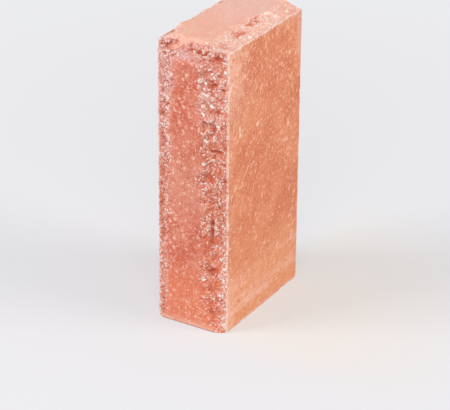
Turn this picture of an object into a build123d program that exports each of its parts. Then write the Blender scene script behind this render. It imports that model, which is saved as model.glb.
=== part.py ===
from build123d import *
import os
import random

# Hyper-pressed corner brick of pigmented cement and stone dust, in millimetres.
# It stands on its plain lower end. The beds face -X and +X, the pitched long face is -Y,
# the pitched end faces up, and the back and the lower end are smooth as they left the press.
# On the two pitched faces the edges are struck off with a chisel, so each keeps a smooth
# panel of the pressed skin that stands proud of a broken margin.

# Overall size, over the smooth panels
THICKNESS = 65.0
WIDTH = 120.0
LENGTH = 250.0

# How far the struck arrises lie behind the panels, and how steeply the break leaves a panel
PITCH_DEPTH = 5.0
BREAK_CURVE = 0.55

# Width of one broken facet, and how far its corners wander in the face and out of it
FACET = 4.5
FACET_WANDER = 1.1
FACET_RELIEF = 0.9

# The broken facets are dealt from this seed
SEED = 7

# Margins of the long face: distance from the lower end, then width from arris to panel
LONG_LEFT_MARGIN = ((0.0, 5.5), (10.0, 8.0), (25.0, 11.0), (110.0, 11.0), (135.0, 15.5), (215.0, 19.0))
LONG_RIGHT_MARGIN = ((0.0, 6.5), (12.0, 14.0), (30.0, 21.0), (135.0, 20.5), (168.0, 22.0), (200.0, 25.0))
LONG_TOP_MARGIN = 13.0

# Margins of the end: distance from the shared arris, then width from arris to panel
END_LEFT_MARGIN = ((0.0, 20.0), (5.0, 14.0), (25.0, 4.0), (45.0, 6.5), (80.0, 5.5))
END_RIGHT_MARGIN = ((0.0, 17.0), (17.0, 19.0), (38.0, 22.5), (54.0, 21.5), (70.0, 16.5), (85.0, 14.8))
END_FRONT_MARGIN = 4.0

# Crest of the arris that the two pitched faces share: distance from the -X bed, then height
# above the struck line. It runs out to that line towards each bed.
ARRIS_CREST = ((9.0, 1.0), (14.0, 1.8), (20.0, 1.0), (30.0, 1.4), (40.0, 2.6), (48.0, 4.2))
ARRIS_RUNOUT = 13.0

# Spall that has set the shared arris back near the -X bed
SPALL_ACROSS = 12.5
SPALL_RADIUS = 8.5
SPALL_DEPTH = 6.0

# Hollows of the long face: distance from the +X bed, below the struck top, radius, depth
LONG_HOLLOWS = (
    (12.0, 2.0, 7.0, 2.0),
    (16.0, 23.0, 7.5, 2.6),
    (15.0, 64.0, 7.5, 3.2),
    (7.5, 83.0, 5.0, 1.6),
    (16.5, 110.0, 6.5, 2.2),
    (11.7, 153.0, 6.5, 2.6),
    (13.5, 190.0, 6.5, 2.0),
    (15.0, 226.0, 5.5, 1.8),
    (57.5, 20.0, 6.0, 1.6),
    (53.5, 85.0, 5.0, 1.2),
)

# Hollows of the end: distance from the +X bed, from the shared arris, radius, depth
END_HOLLOWS = (
    (16.1, 67.0, 6.0, 2.0),
    (18.2, 58.0, 5.5, 2.0),
    (11.5, 41.0, 6.0, 2.2),
    (10.0, 33.0, 5.5, 1.8),
)

# Planes of the faces and lines of the struck arrises
BED = THICKNESS / 2
FRONT = WIDTH / 2
STRUCK_FRONT = PITCH_DEPTH - FRONT
STRUCK_TOP = LENGTH - PITCH_DEPTH


def between(stations, place):
    """Value of an outline at a place between its stations"""
    if place <= stations[0][0]:
        return stations[0][1]
    for (start, low), (end, high) in zip(stations, stations[1:]):
        if place <= end:
            return low + (high - low) * (place - start) / (end - start)
    return stations[-1][1]


def break_depth(distance, margin, reach):
    """Depth of a break at a distance from its arris, nothing on the panel"""
    if distance >= margin:
        return 0.0
    return reach * (1 - distance / margin) ** BREAK_CURVE


def shell_depth(offset, radius, deepest):
    """Depth of a shell-shaped hollow at an offset from its middle, nothing outside it"""
    return max(0.0, deepest * (1 - (offset / radius) ** 2))


def hollow_depth(hollows, across, along):
    """Extra depth of the deepest hollow at a point"""
    depths = [0.0]
    for hollow_across, hollow_along, radius, deepest in hollows:
        offset = ((across - hollow_across) ** 2 + (along - hollow_along) ** 2) ** 0.5
        depths.append(shell_depth(offset, radius, deepest))
    return max(depths)


def broken(depth, hollows, across, along, dice):
    """A depth with its facets and hollows, calm at the arrises and none on the panel"""
    relief = dice.uniform(-FACET_RELIEF, FACET_RELIEF)
    if depth == 0.0:
        return depth
    calm = min(1.0, across / FACET, (THICKNESS - across) / FACET, abs(along) / FACET)
    share = min(1.0, depth / FACET_RELIEF)
    return depth + calm * share * (relief + hollow_depth(hollows, across, along))


def long_face_depth(x, z, arris_y, arris_z, dice):
    """How far a point of the long face lies behind its panel"""
    left = break_depth(BED + x, between(LONG_LEFT_MARGIN, z), PITCH_DEPTH)
    right = break_depth(BED - x, between(LONG_RIGHT_MARGIN, z), PITCH_DEPTH)
    top = break_depth(arris_z - z, LONG_TOP_MARGIN, arris_y + FRONT)
    return broken(max(left, right, top), LONG_HOLLOWS, BED - x, STRUCK_TOP - z, dice)


def end_depth(x, y, arris_y, arris_z, dice):
    """How far a point of the end lies below its panel"""
    along = y - STRUCK_FRONT
    left = break_depth(BED + x, between(END_LEFT_MARGIN, along), PITCH_DEPTH)
    right = break_depth(BED - x, between(END_RIGHT_MARGIN, along), PITCH_DEPTH)
    front = break_depth(y - arris_y, END_FRONT_MARGIN, LENGTH - arris_z)
    return broken(max(left, right, front), END_HOLLOWS, BED - x, along, dice)


def shared_arris(columns):
    """Points of the arris between the two pitched faces, from bed to bed"""
    points = []
    for column in range(columns + 1):
        across = THICKNESS * column / columns
        runout = min(1.0, across / ARRIS_RUNOUT, (THICKNESS - across) / ARRIS_RUNOUT)
        spall = shell_depth(across - SPALL_ACROSS, SPALL_RADIUS, SPALL_DEPTH)
        crest = between(ARRIS_CREST, across)
        points.append((across - BED, STRUCK_FRONT + runout * spall, STRUCK_TOP + runout**2 * crest))
    return points


def wander(on_outline, dice):
    """A random step of a lattice point, none where it would leave the outline of its face"""
    step = dice.uniform(-FACET_WANDER, FACET_WANDER)
    return 0.0 if on_outline else step


def long_face_lattice(arris, dice):
    """Rows of points of the long face, from the lower end up to the shared arris"""
    rows = round(STRUCK_TOP / FACET)
    lattice = []
    for row in range(rows):
        points = []
        for column, (arris_x, arris_y, arris_z) in enumerate(arris):
            at_bed = column in (0, len(arris) - 1)
            x = arris_x + wander(at_bed, dice)
            z = arris_z * row / rows + wander(at_bed or row == 0, dice)
            points.append((x, long_face_depth(x, z, arris_y, arris_z, dice) - FRONT, z))
        lattice.append(points)
    return lattice + [arris]


def end_lattice(arris, dice):
    """Rows of points of the end, from the shared arris to the back"""
    rows = round((FRONT - STRUCK_FRONT) / FACET)
    lattice = [arris]
    for row in range(1, rows + 1):
        points = []
        for column, (arris_x, arris_y, arris_z) in enumerate(arris):
            at_bed = column in (0, len(arris) - 1)
            x = arris_x + wander(at_bed, dice)
            y = arris_y + (FRONT - arris_y) * row / rows + wander(at_bed or row == rows, dice)
            points.append((x, y, LENGTH - end_depth(x, y, arris_y, arris_z, dice)))
        lattice.append(points)
    return lattice


def flat_face(points):
    """One flat face round its corners"""
    return Face(Wire.make_polygon(points))


def facets(lattice):
    """Triangles over a lattice, with their diagonals turned in chequers"""
    triangles = []
    for row, (lower, upper) in enumerate(zip(lattice, lattice[1:])):
        for column in range(len(lower) - 1):
            a, b = lower[column], lower[column + 1]
            c, d = upper[column + 1], upper[column]
            turned = (row + column) % 2
            halves = ((a, b, c), (a, c, d)) if turned else ((a, b, d), (b, c, d))
            triangles += [flat_face(half) for half in halves]
    return triangles


def plain_faces(front, end):
    """The two beds, the back and the lower end, which meet the pitched faces point for point"""
    faces = []
    for x, column in ((-BED, 0), (BED, -1)):
        pitched_edge = [row[column] for row in front] + [row[column] for row in end[1:]]
        faces.append(flat_face(pitched_edge + [(x, FRONT, 0.0)]))
    feet = [(BED, FRONT, 0.0), (-BED, FRONT, 0.0)]
    return faces + [flat_face(end[-1] + feet), flat_face(front[0] + feet)]


def corner_brick():
    """The whole brick, one pressed piece"""
    dice = random.Random(SEED)
    arris = shared_arris(round(THICKNESS / FACET))
    front = long_face_lattice(arris, dice)
    end = end_lattice(arris, dice)
    skin = Shell(facets(front) + facets(end) + plain_faces(front, end))
    return Solid(skin).clean()


os.makedirs("parts", exist_ok=True)
brick = corner_brick()
export_step(brick, "parts/corner_brick.step")
print("corner_brick volume cm3", round(brick.volume / 1000, 1), "valid", brick.is_valid)
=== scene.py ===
# %% [markdown]
# # A hyper-pressed corner brick
# The brick is one piece of stone dust, cement and pigment, squeezed dry in a steel mould and
# then struck with a chisel along the edges of two faces, so that they look like split rock.
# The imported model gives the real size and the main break. This lesson gives the brick its fine
# break, its stone grains, its worn edges and its colour, and sets it on a pale floor.

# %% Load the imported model
import math
import random

import bmesh
import bpy
import numpy as np
from mathutils import Matrix, Vector, geometry, noise
from mathutils.bvhtree import BVHTree


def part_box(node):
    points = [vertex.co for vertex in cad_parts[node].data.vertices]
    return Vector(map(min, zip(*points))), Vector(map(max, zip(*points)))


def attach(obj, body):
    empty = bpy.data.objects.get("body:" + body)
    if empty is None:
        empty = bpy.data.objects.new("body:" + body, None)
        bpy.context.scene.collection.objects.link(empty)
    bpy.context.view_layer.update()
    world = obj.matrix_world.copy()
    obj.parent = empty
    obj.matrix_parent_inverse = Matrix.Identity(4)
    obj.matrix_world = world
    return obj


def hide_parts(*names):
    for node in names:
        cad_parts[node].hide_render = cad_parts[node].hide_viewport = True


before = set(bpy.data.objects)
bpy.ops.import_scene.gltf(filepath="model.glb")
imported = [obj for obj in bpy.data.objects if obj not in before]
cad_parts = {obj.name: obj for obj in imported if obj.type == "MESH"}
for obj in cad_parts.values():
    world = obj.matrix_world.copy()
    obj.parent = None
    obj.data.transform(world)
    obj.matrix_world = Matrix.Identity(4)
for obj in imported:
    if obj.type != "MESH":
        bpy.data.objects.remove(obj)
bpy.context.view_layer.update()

# %% [markdown]
# ## Sizes read from the model
# Blender works in metres, and a brick is drawn in millimetres, so MM turns one into the other.
# The box of the one node gives the planes of the smooth panels, beds and back. The corners of a
# bed tell where the chisel struck the arrises. Points no further apart than SAME are one point.

# %% Sizes
MM = 0.001
SAME = 0.01 * MM
BRICK = "corner_brick"
low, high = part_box(BRICK)
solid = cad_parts[BRICK]
bed_points = [v.co for v in solid.data.vertices if v.co.x > high.x - SAME]
STRUCK_FRONT = min(point.y for point in bed_points)
STRUCK_TOP = max(point.z for point in bed_points)
print("panel planes mm", round(low.y / MM, 2), round(high.z / MM, 2))
print("struck arrises mm", round(STRUCK_FRONT / MM, 2), round(STRUCK_TOP / MM, 2))

# %% [markdown]
# ## One sheet over the two pitched faces
# The long face and the end are one broken surface that turns over the arris they share. It is
# made as one sheet of small squares. Each row of points looks into the brick along one line:
# level on the long face, straight down on the end, and fanned round the arris between them.
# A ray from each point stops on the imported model, so the sheet has its break exactly. The mesh of
# the model could be cut finer instead, but its points lie in no rows, and here each point is
# later compared with its neighbours.

# %% Rows of the sheet
STEP = 0.6 * MM
HUB_INSET = 15 * MM
FAN_STRETCH = 1.1
RAY_START = 40 * MM
hub_y, hub_z = low.y + HUB_INSET, high.z - HUB_INSET


def spaced(start, end, step):
    """Evenly spaced places from start to end, about a step apart"""
    return np.linspace(start, end, round(abs(end - start) / step) + 1)


def sheet_rows():
    """Place and look of each row, as (y, z, look y, look z), from the lower end to the back"""
    rows = [(low.y, z, 1.0, 0.0) for z in spaced(low.z, hub_z, STEP)[:-1]]
    for turn in spaced(0, math.pi / 2, STEP / (HUB_INSET * FAN_STRETCH)):
        look = (math.cos(turn), -math.sin(turn))
        rows.append((hub_y - HUB_INSET * look[0], hub_z - HUB_INSET * look[1], *look))
    rows += [(y, high.z, 0.0, -1.0) for y in spaced(hub_y, high.y, STEP)[1:]]
    return np.array(rows)


rows = sheet_rows()
columns = spaced(low.x, high.x, STEP)
print("sheet", len(rows), "rows of", len(columns), "points")

# %% [markdown]
# The model's facets are about 4.5 mm wide, and a real break is ragged at every size. So each ray
# is first pushed aside by a little noise, which bends the facets' edges and frays the edge of the
# smooth panel. Near the beds and the ends of the sheet the push fades, so the arrises stay where
# the chisel put them. The points are also shaken a little, so that no rows and columns show.

# %% Cast the sheet onto the model
FRAY = ((12.0 * MM, 3.2 * MM), (4.5 * MM, 1.8 * MM), (1.7 * MM, 0.6 * MM))
FRAY_ALONG_FROM = Vector((31, 17, 5))
CALM = 3.0 * MM
SHAKE = 0.22 * STEP
SHAKE_SEED = 3
INSIDE = 0.001 * MM
model = BVHTree.FromPolygons(
    [v.co for v in solid.data.vertices], [p.vertices for p in solid.data.polygons]
)


def fray(point):
    """Sideways push of a ray, as (across, along), from noise of three sizes"""
    across = sum(push * noise.noise(point / size) for size, push in FRAY)
    along = sum(push * noise.noise(point / size + FRAY_ALONG_FROM) for size, push in FRAY)
    return across, along


def sunk(point, look, calm_across, calm_along):
    """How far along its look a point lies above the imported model, and how far that faces up"""
    across, along = fray(point)
    along *= min(calm_across, calm_along)
    pushed = point + Vector((across * calm_across, -look.z * along, look.y * along))
    pushed.x = max(low.x + INSIDE, min(high.x - INSIDE, pushed.x))
    pushed.y = min(pushed.y, high.y - INSIDE)
    pushed.z = max(pushed.z, low.z + INSIDE)
    _, normal, _, length = model.ray_cast(pushed - look * RAY_START, look)
    return length - RAY_START, normal.z


def cast_sheet():
    """Points of the sheet above the model, how far each sinks and how far it then faces up"""
    dice = random.Random(SHAKE_SEED)
    last = len(rows) - 1
    above, hits = [], []
    for number, (y, z, look_y, look_z) in enumerate(rows):
        look = Vector((0, look_y, look_z))
        calm_along = min(1.0, number * STEP / CALM, (last - number) * STEP / CALM)
        for x in columns:
            calm_across = min(1.0, (high.x - abs(x)) / CALM)
            shake = SHAKE * min(calm_across, calm_along)
            across, along = dice.uniform(-shake, shake), dice.uniform(-shake, shake)
            point = Vector((x + across, y - look_z * along, z + look_y * along))
            above.append(point)
            hits.append(sunk(point, look, calm_across, calm_along))
    shape = len(rows), len(columns)
    sinking, facing_up = np.array(hits).T
    return np.array(above).reshape(*shape, 3), sinking.reshape(shape), facing_up.reshape(shape)


above, sinking, facing_up = cast_sheet()
looks = np.stack([np.zeros(len(rows)), rows[:, 2], rows[:, 3]], 1)[:, None, :]
coarse = above + looks * sinking[..., None]
coarse_x, coarse_y, coarse_z = np.moveaxis(coarse, 2, 0)
behind = np.minimum(coarse_y - low.y, high.z - coarse_z)
print("deepest break mm", round(float(behind.max()) / MM, 2))

# %% [markdown]
# ## The fine break
# Split stone dust breaks round its grains. The long ledges lean up to the right, as the blows
# went, and between them every grain of 2 mm stands out or has left its bed. All of this is height
# along the rays. Noise gives the ledges, lumps and grit, and a Voronoi texture, which has one
# point in each cell, gives the grains. A sculpted or painted break would do too, but noise is the
# same on each run and keeps its size in millimetres.

# %% Height of the fine break
LEAN = math.radians(35)
LEDGE = (7.5, 3.6, 3.0)
LEDGE_HEIGHT = 0.55 * MM
LEDGE_CREST, LEDGE_FALL = 0.45, 2.0
LUMP_SIZE = 4.2
LUMP_HEIGHT = 0.4 * MM
LUMPS_FROM = Vector((9, 4, 2))
GRAIN_SIZE = 1.9
GRAIN_HEIGHT = 0.95 * MM
GRAIN_LEVEL = 0.5
GRIT_SIZE = 1.0
GRIT_HEIGHT = 0.4 * MM


def fine_break(point):
    """Height of ledges, lumps, grains and grit at a point"""
    x, y, z = point / MM
    along = x * math.cos(LEAN) + z * math.sin(LEAN)
    across = z * math.cos(LEAN) - x * math.sin(LEAN)
    ledge = Vector((along / LEDGE[0], y / LEDGE[1], across / LEDGE[2]))
    place = Vector((x, y, z))
    grain = noise.voronoi(place / GRAIN_SIZE)[0][0]
    return (
        LEDGE_HEIGHT * (LEDGE_CREST - LEDGE_FALL * abs(noise.noise(ledge)))
        + LUMP_HEIGHT * noise.noise(place / LUMP_SIZE + LUMPS_FROM)
        + GRAIN_HEIGHT * (GRAIN_LEVEL - grain)
        + GRIT_HEIGHT * noise.noise(place / GRIT_SIZE)
    )


# %% [markdown]
# Here and there a blow tore out a whole lump. The largest of these dark holes stand in the
# photo: a row right under the arris that the two broken faces share, more of them further down,
# and long ones on the end. Elsewhere a lump has stayed and fills part of a hollow of the model.
# Each is given in millimetres as its place across the face and along it, its half width, its
# half length and its depth or height. Noise on its distance keeps its outline ragged. A brush in
# Sculpt Mode could press them in, but a row of numbers can be moved or made deeper at any time.

# %% Torn holes and lumps
LONG_FACE_HOLES = (
    (-1.0, 242.0, 4.0, 2.2, 1.0),
    (6.5, 242.4, 4.0, 2.2, 1.1),
    (14.0, 241.6, 4.5, 2.2, 1.0),
    (24.0, 240.0, 6.5, 2.4, 1.2),
    (8.6, 223.5, 3.6, 2.4, 0.9),
    (15.0, 220.0, 4.0, 1.8, 0.9),
    (20.5, 217.2, 5.0, 1.8, 1.1),
    (26.0, 213.6, 4.5, 1.8, 1.0),
    (24.0, 195.0, 4.5, 1.8, 0.9),
    (20.5, 181.5, 3.5, 6.5, 1.1),
    (14.0, 184.0, 4.5, 1.8, 0.8),
    (22.0, 160.9, 7.0, 2.0, 1.1),
    (20.0, 92.0, 1.8, 12.0, 1.5),
    (18.0, 55.0, 7.5, 4.0, 0.6),
)
END_HOLES = (
    (20.0, -18.5, 2.0, 11.0, 0.9),
    (15.6, 3.5, 1.8, 6.0, 0.8),
    (14.4, 15.5, 1.8, 8.0, 1.1),
)
LONG_FACE_LUMPS = (
    (20.8, 92.0, 7.0, 7.0, 2.0),
    (16.5, 222.0, 7.5, 7.5, 0.9),
    (17.5, 181.0, 7.8, 7.8, 2.7),
    (-20.0, 241.0, 7.0, 6.0, 1.0),
)
END_LUMPS = ((22.0, -17.5, 7.5, 12.0, 1.1),)
OUTLINE_SIZE = 2.6 * MM
OUTLINE_SHARE = 0.7


def mound(point, along, spots):
    """How deep the holes, or how high the lumps, of a face are at a point"""
    ragged = 1 + OUTLINE_SHARE * noise.noise(point / OUTLINE_SIZE)
    total = 0.0
    for middle_x, middle, half_width, half_length, most in spots:
        aside, ahead = point.x / MM - middle_x, along / MM - middle
        far = math.hypot(aside / half_width, ahead / half_length)
        total += most * max(0.0, 1 - (far * ragged) ** 2)
    return total * MM


def over_sheet(measure, *values):
    """What a measure gives at each point of the sheet, from its place and the values there"""
    spots = zip(coarse.reshape(-1, 3), *(value.ravel() for value in values))
    found = [measure(Vector(point), *there) for point, *there in spots]
    return np.array(found).reshape(behind.shape)


def mounds(front_spots, end_spots, on_end):
    """The holes or lumps of the long face and of the end at each point of the sheet"""
    front = over_sheet(lambda point, along: mound(point, along, front_spots), coarse_z)
    end = over_sheet(lambda point, along: mound(point, along, end_spots), coarse_y)
    return front * (1 - on_end) + end * on_end


print("torn holes", len(LONG_FACE_HOLES + END_HOLES), "lumps", len(LONG_FACE_LUMPS + END_LUMPS))

# %% [markdown]
# Along the far side of the end the struck edge has frayed a little way into the panel, so a
# wavering band of it counts as broken too. The model's facets could be moved instead, but the
# fraying is finer than they are.

# %% Frayed side of the end
BAND = (-25.5 * MM, -28.0 * MM)
BAND_SIZE = 5.0 * MM
BAND_WAVER = 3.5 * MM
BAND_SHARE = 0.8


def smooth_step(values, start, end):
    """0 up to start, 1 from end, and a soft climb between"""
    share = np.clip((values - start) / (end - start), 0, 1)
    return share * share * (3 - 2 * share)


def frayed_band():
    """How broken the frayed band of the end is, and nothing beside it"""
    wavers = over_sheet(lambda point: noise.noise(point / BAND_SIZE))
    return BAND_SHARE * smooth_step(coarse_x + BAND_WAVER * wavers, *BAND)


# %% [markdown]
# ## Breaking the sheet
# A point counts as broken by how deep it lies behind the panels. The break sets in at once on the
# right of the long face and softly on its left, and the lip of the end next to the shared arris
# is nearly whole. A painted mask could tell break from skin too, but depth draws the line just
# where the model has it.

# %% Share of the break
SKIN_DEPTH = 0.12 * MM
CRISP_DEPTH = 0.6 * MM
SOFT_DEPTH = 2.6 * MM
SOFT_SIDE = (2.0 * MM, -12.0 * MM)
END_BEGINS = 238.0 * MM
END_FACES_UP = (0.35, 0.5)
LIP = (3.0 * MM, 9.0 * MM)
LIP_SIDES = ((-24.0 * MM, -17.0 * MM), (16.0 * MM, 10.0 * MM))
LIP_SHARE = 0.85
soft_side = smooth_step(coarse_x, *SOFT_SIDE)
broken = smooth_step(behind, SKIN_DEPTH, CRISP_DEPTH + (SOFT_DEPTH - CRISP_DEPTH) * soft_side)
on_end = smooth_step(facing_up, *END_FACES_UP) * (coarse_z > END_BEGINS)
near_arris = 1 - smooth_step(coarse_y - STRUCK_FRONT, *LIP)
left, right = (smooth_step(coarse_x, *side) for side in LIP_SIDES)
broken = broken * (1 - LIP_SHARE * on_end * near_arris * left * right)
broken = np.maximum(broken, frayed_band() * on_end * (1 - near_arris))
print("broken share of the sheet", round(float(broken.mean()), 2))

# %% [markdown]
# All heights are weighed by that share and fade towards the beds, so the arrises stay sharp. Where
# the model is deepest they are larger, for the blows fell there. The sheet then moves along its
# rays by them. A Displace modifier would move it along its normals, which cross in a narrow
# hollow.

# %% Break the sheet
ARRIS_SHARE = 0.35
DEEP = (4.5 * MM, 7.0 * MM)
DEEP_SHARE = 0.6
to_bed = np.minimum(1, (high.x - np.abs(coarse_x)) / CALM)
heights = over_sheet(fine_break) * broken * (ARRIS_SHARE + (1 - ARRIS_SHARE) * to_bed)
heights *= 1 + DEEP_SHARE * smooth_step(behind, *DEEP) * (1 - on_end)
holes = mounds(LONG_FACE_HOLES, END_HOLES, on_end)
lumps = mounds(LONG_FACE_LUMPS, END_LUMPS, on_end)
heights += (lumps - holes) * broken
sheet = coarse - looks * heights[..., None]
sheet = np.clip(sheet, np.array(low), np.array(high))
print("fine break mm", round(float(heights.min()) / MM, 2), round(float(heights.max()) / MM, 2))

# %% [markdown]
# A break is pale where it stands out, partly for the white dust that the blow crushed and partly
# as a painted highlight, and dark red in its hollows as painted shade. So each point keeps how far
# it stands above the mean of its neighbours. The Geometry node's Pointiness tells that too, but
# only next to the point.

# %% Ridges and hollows
NEIGHBOURS = 4
WIDE_NEIGHBOURS = 11
COARSE_SHARE = 0.5


def neighbour_mean(values, reach):
    """Mean over a square of neighbours, twice for a soft edge"""
    for axis in (0, 1, 0, 1):
        wide = np.pad(values, [(reach, reach) if i == axis else (0, 0) for i in (0, 1)], "edge")
        length = values.shape[axis]
        parts = [np.take(wide, range(k, k + length), axis) for k in range(2 * reach + 1)]
        values = sum(parts) / len(parts)
    return values


standing = heights - COARSE_SHARE * sinking
relief = (standing - neighbour_mean(standing, NEIGHBOURS)) / MM
whole = heights - sinking
bowl = (neighbour_mean(whole, NEIGHBOURS) - neighbour_mean(whole, WIDE_NEIGHBOURS)) / MM
print("stands out mm", round(float(relief.min()), 2), round(float(relief.max()), 2))
print("bowls mm", round(float(bowl.min()), 2), round(float(bowl.max()), 2))

# %% [markdown]
# The limestone doesn't lie evenly. It shows in clusters, on what stands out more than in the
# hollows, and where the panel gave way: in wavering lines down its left side, down the upper part
# of its right side and low down along the bed. A line is its place across the face, its swing,
# its width, its amount, and the heights between which it runs, in millimetres. The end has less.
# Weight Paint could mark it all by hand, but numbers are quicker to change.

# %% Where the limestone shows
CLUSTER_SIZE = 9 * MM
CLUSTER_MEAN = 0.65
CLUSTER_SWING = 1.3
RIDGE_GAIN = 0.8
BOWL_GAIN = 0.5
HOLLOW_LEAST = 0.05
LINE_WAVER_SIZE = 22
LINE_GAP_SIZE = 7
LINE_GAPS_FROM = (3, 5)
LINE_MEAN = 0.6
LINE_SWING = 1.6
LINES = (
    (-22.0, 3.5, 1.5, 2.0, (0, 232)),
    (13.5, 3.0, 2.2, 0.9, (120, 220)),
    (29.5, 1.0, 2.2, 0.9, (0, 95)),
)
END_LESS = 0.4


def limestone_share(point, stands, wide_bowl):
    """Share of limestone at a point of the break"""
    cluster = CLUSTER_MEAN + CLUSTER_SWING * noise.noise(point / CLUSTER_SIZE)
    ridge = 1 + RIDGE_GAIN * stands + BOWL_GAIN * wide_bowl
    return max(0.0, cluster) * max(HOLLOW_LEAST, ridge)


def line_share(point):
    """Share of limestone that the lines add at a point of the long face"""
    x, _, z = point / MM
    waver = noise.noise(Vector((0, 0, z / LINE_WAVER_SIZE)))
    gap = noise.noise(Vector((*LINE_GAPS_FROM, z / LINE_GAP_SIZE)))
    gaps = max(0.0, LINE_MEAN + LINE_SWING * gap)
    share = 0.0
    for across, swing, width, amount, (lowest, highest) in LINES:
        if lowest < z < highest:
            share += amount * gaps * math.exp(-(((x - across - swing * waver) / width) ** 2))
    return share


shares = over_sheet(limestone_share, relief, bowl) * broken * (1 - END_LESS * on_end)
shares += over_sheet(line_share)
print("limestone share, mean on the break", round(float(shares[broken > 0.5].mean()), 2))

# %% [markdown]
# ## Closing the brick
# The beds, the back and the lower end are flat. Each gets rings of points close to its edge, where
# the edge will be worn, and few points in the middle. One face with many corners would close the
# brick too, but it has no points along its edge to wear.

# %% Points of the plain faces
EDGE_STEP = 1.0 * MM
RINGS = (0.5 * MM, 1.2 * MM, 2.4 * MM, 5.0 * MM)
MIDDLE_STEP = 8.0 * MM
ON_EDGE = 0.9
vertices = [Vector(point) for point in sheet.reshape(-1, 3)]
faces = []
known = {tuple(round(c / SAME) for c in point): i for i, point in enumerate(vertices)}


def vertex(point):
    """Number of the vertex at a point, made if it is new"""
    key = tuple(round(c / SAME) for c in point)
    if key not in known:
        known[key] = len(vertices)
        vertices.append(Vector(point))
    return known[key]


def straight(start, end):
    """Points along a plain edge, without its first and its last"""
    shares = spaced(0, 1, EDGE_STEP / (end - start).length)[1:-1]
    return [start.lerp(end, share) for share in shares]


def inner_points(outline):
    """Rings inside an outline, given counter-clockwise, and a wide lattice in its middle"""
    along = np.roll(outline, -1, 0) - np.roll(outline, 1, 0)
    inward = np.stack([-along[:, 1], along[:, 0]], 1) / np.linalg.norm(along, axis=1)[:, None]
    lowest, highest = outline.min(0), outline.max(0)
    points = []
    for number, ring in enumerate(RINGS):
        inset = outline + inward * ring
        inside = ((inset > lowest + ON_EDGE * ring) & (inset < highest - ON_EDGE * ring)).all(1)
        points += [tuple(point) for point in inset[inside][:: 1 + number]]
    gap = RINGS[-1] + MIDDLE_STEP / 2
    for u in spaced(lowest[0] + gap, highest[0] - gap, MIDDLE_STEP):
        points += [(u, v) for v in spaced(lowest[1] + gap, highest[1] - gap, MIDDLE_STEP)]
    return points


print("rings mm inside the edge", [round(ring / MM, 1) for ring in RINGS])

# %% [markdown]
# A Delaunay fill joins those points to triangles of good shape, where filling the outline by its
# corners would leave long slivers. The outlines share their points with the sheet, so the whole
# is one closed skin.

# %% Plain faces
INSIDE_ONLY = 1
TOUCHING = 1e-4


def fill(outline, axis):
    """Triangles inside a flat outline of points that all lie at one place along an axis"""
    plane = outline[0][axis]
    first, second = [i for i in range(3) if i != axis]
    edge = np.array([(point[first], point[second]) for point in outline])
    area = np.cross(edge, np.roll(edge, -1, 0)).sum()
    edge = edge if area > 0 else edge[::-1]
    places = [Vector(place) / MM for place in list(map(tuple, edge)) + inner_points(edge)]
    ring = [(i, (i + 1) % len(edge)) for i in range(len(edge))]
    found = geometry.delaunay_2d_cdt(places, ring, [], INSIDE_ONLY, TOUCHING)
    numbers = []
    for place in found[0]:
        point = [plane, plane, plane]
        point[first], point[second] = place * MM
        numbers.append(vertex(point))
    faces.extend([[numbers[i] for i in triangle] for triangle in found[2]])


def close_brick():
    """The squares of the sheet, and the four plain faces"""
    wide = len(columns)
    for corner in range((len(rows) - 1) * wide):
        if (corner + 1) % wide:
            faces.append([corner, corner + 1, corner + wide + 1, corner + wide])
    left, right = list(map(Vector, sheet[:, 0])), list(map(Vector, sheet[:, -1]))
    lower, back = list(map(Vector, sheet[0])), list(map(Vector, sheet[-1]))
    left_foot, right_foot = Vector((low.x, high.y, low.z)), Vector((high.x, high.y, low.z))
    foot = [right_foot] + straight(right_foot, left_foot) + [left_foot]
    for side, corner in ((left, left_foot), (right, right_foot)):
        fill(side + straight(side[-1], corner) + [corner] + straight(corner, side[0]), 0)
    for side, axis in ((back, 1), (lower, 2)):
        fill(side + straight(side[-1], right_foot) + foot + straight(left_foot, side[0]), axis)


close_brick()
print("closed skin", len(vertices), "points", len(faces), "faces")

# %% [markdown]
# ## Pressed edges
# The mould leaves the plain edges slightly round, and handling knocks small chips off them.
# Every point is pulled onto a box with round edges, whose radius changes along the brick. The
# struck arrises lie inside that box, so only the plain edges change. A chip is its place, its
# reach and its depth in millimetres. A Bevel modifier would give the same radius everywhere.

# %% Round the plain edges
EDGE_RADIUS = 0.5 * MM
EDGE_CHANGE = 0.35 * MM
EDGE_CHANGE_SIZE = 12.0 * MM
CHIP_SIZE = 4.0 * MM
CHIP_DEPTH = 3.0 * MM
CHIP_RARITY = 0.4
NEVER_ZERO = 1e-9
CHIPS = (
    ((32.5, -55.0, 0.0), 5.0, 1.8),
    ((32.5, -30.0, 0.0), 4.0, 1.2),
    ((32.5, 36.0, 0.0), 5.0, 2.6),
    ((32.5, 46.0, 0.0), 8.0, 1.8),
    ((32.5, 60.0, 0.0), 5.0, 1.6),
    ((32.5, 60.0, 171.0), 5.0, 1.3),
    ((-32.5, 60.0, 36.0), 6.0, 1.6),
    ((-32.5, 60.0, 214.0), 4.0, 1.2),
    ((-32.5, -12.0, 0.0), 5.0, 1.4),
    ((-6.0, 60.0, 250.0), 5.0, 1.2),
    ((4.0, 60.0, 0.0), 6.0, 1.3),
)


def edge_radius(point):
    """Radius of a plain edge near a point, larger where a chip is gone"""
    radius = EDGE_RADIUS + EDGE_CHANGE * noise.noise(point / EDGE_CHANGE_SIZE)
    radius += CHIP_DEPTH * max(0.0, noise.noise(point / CHIP_SIZE) - CHIP_RARITY)
    for place, reach, depth in CHIPS:
        near = 1 - (point - Vector(place) * MM).length / (reach * MM)
        radius += depth * MM * max(0.0, near)
    return radius


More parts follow.
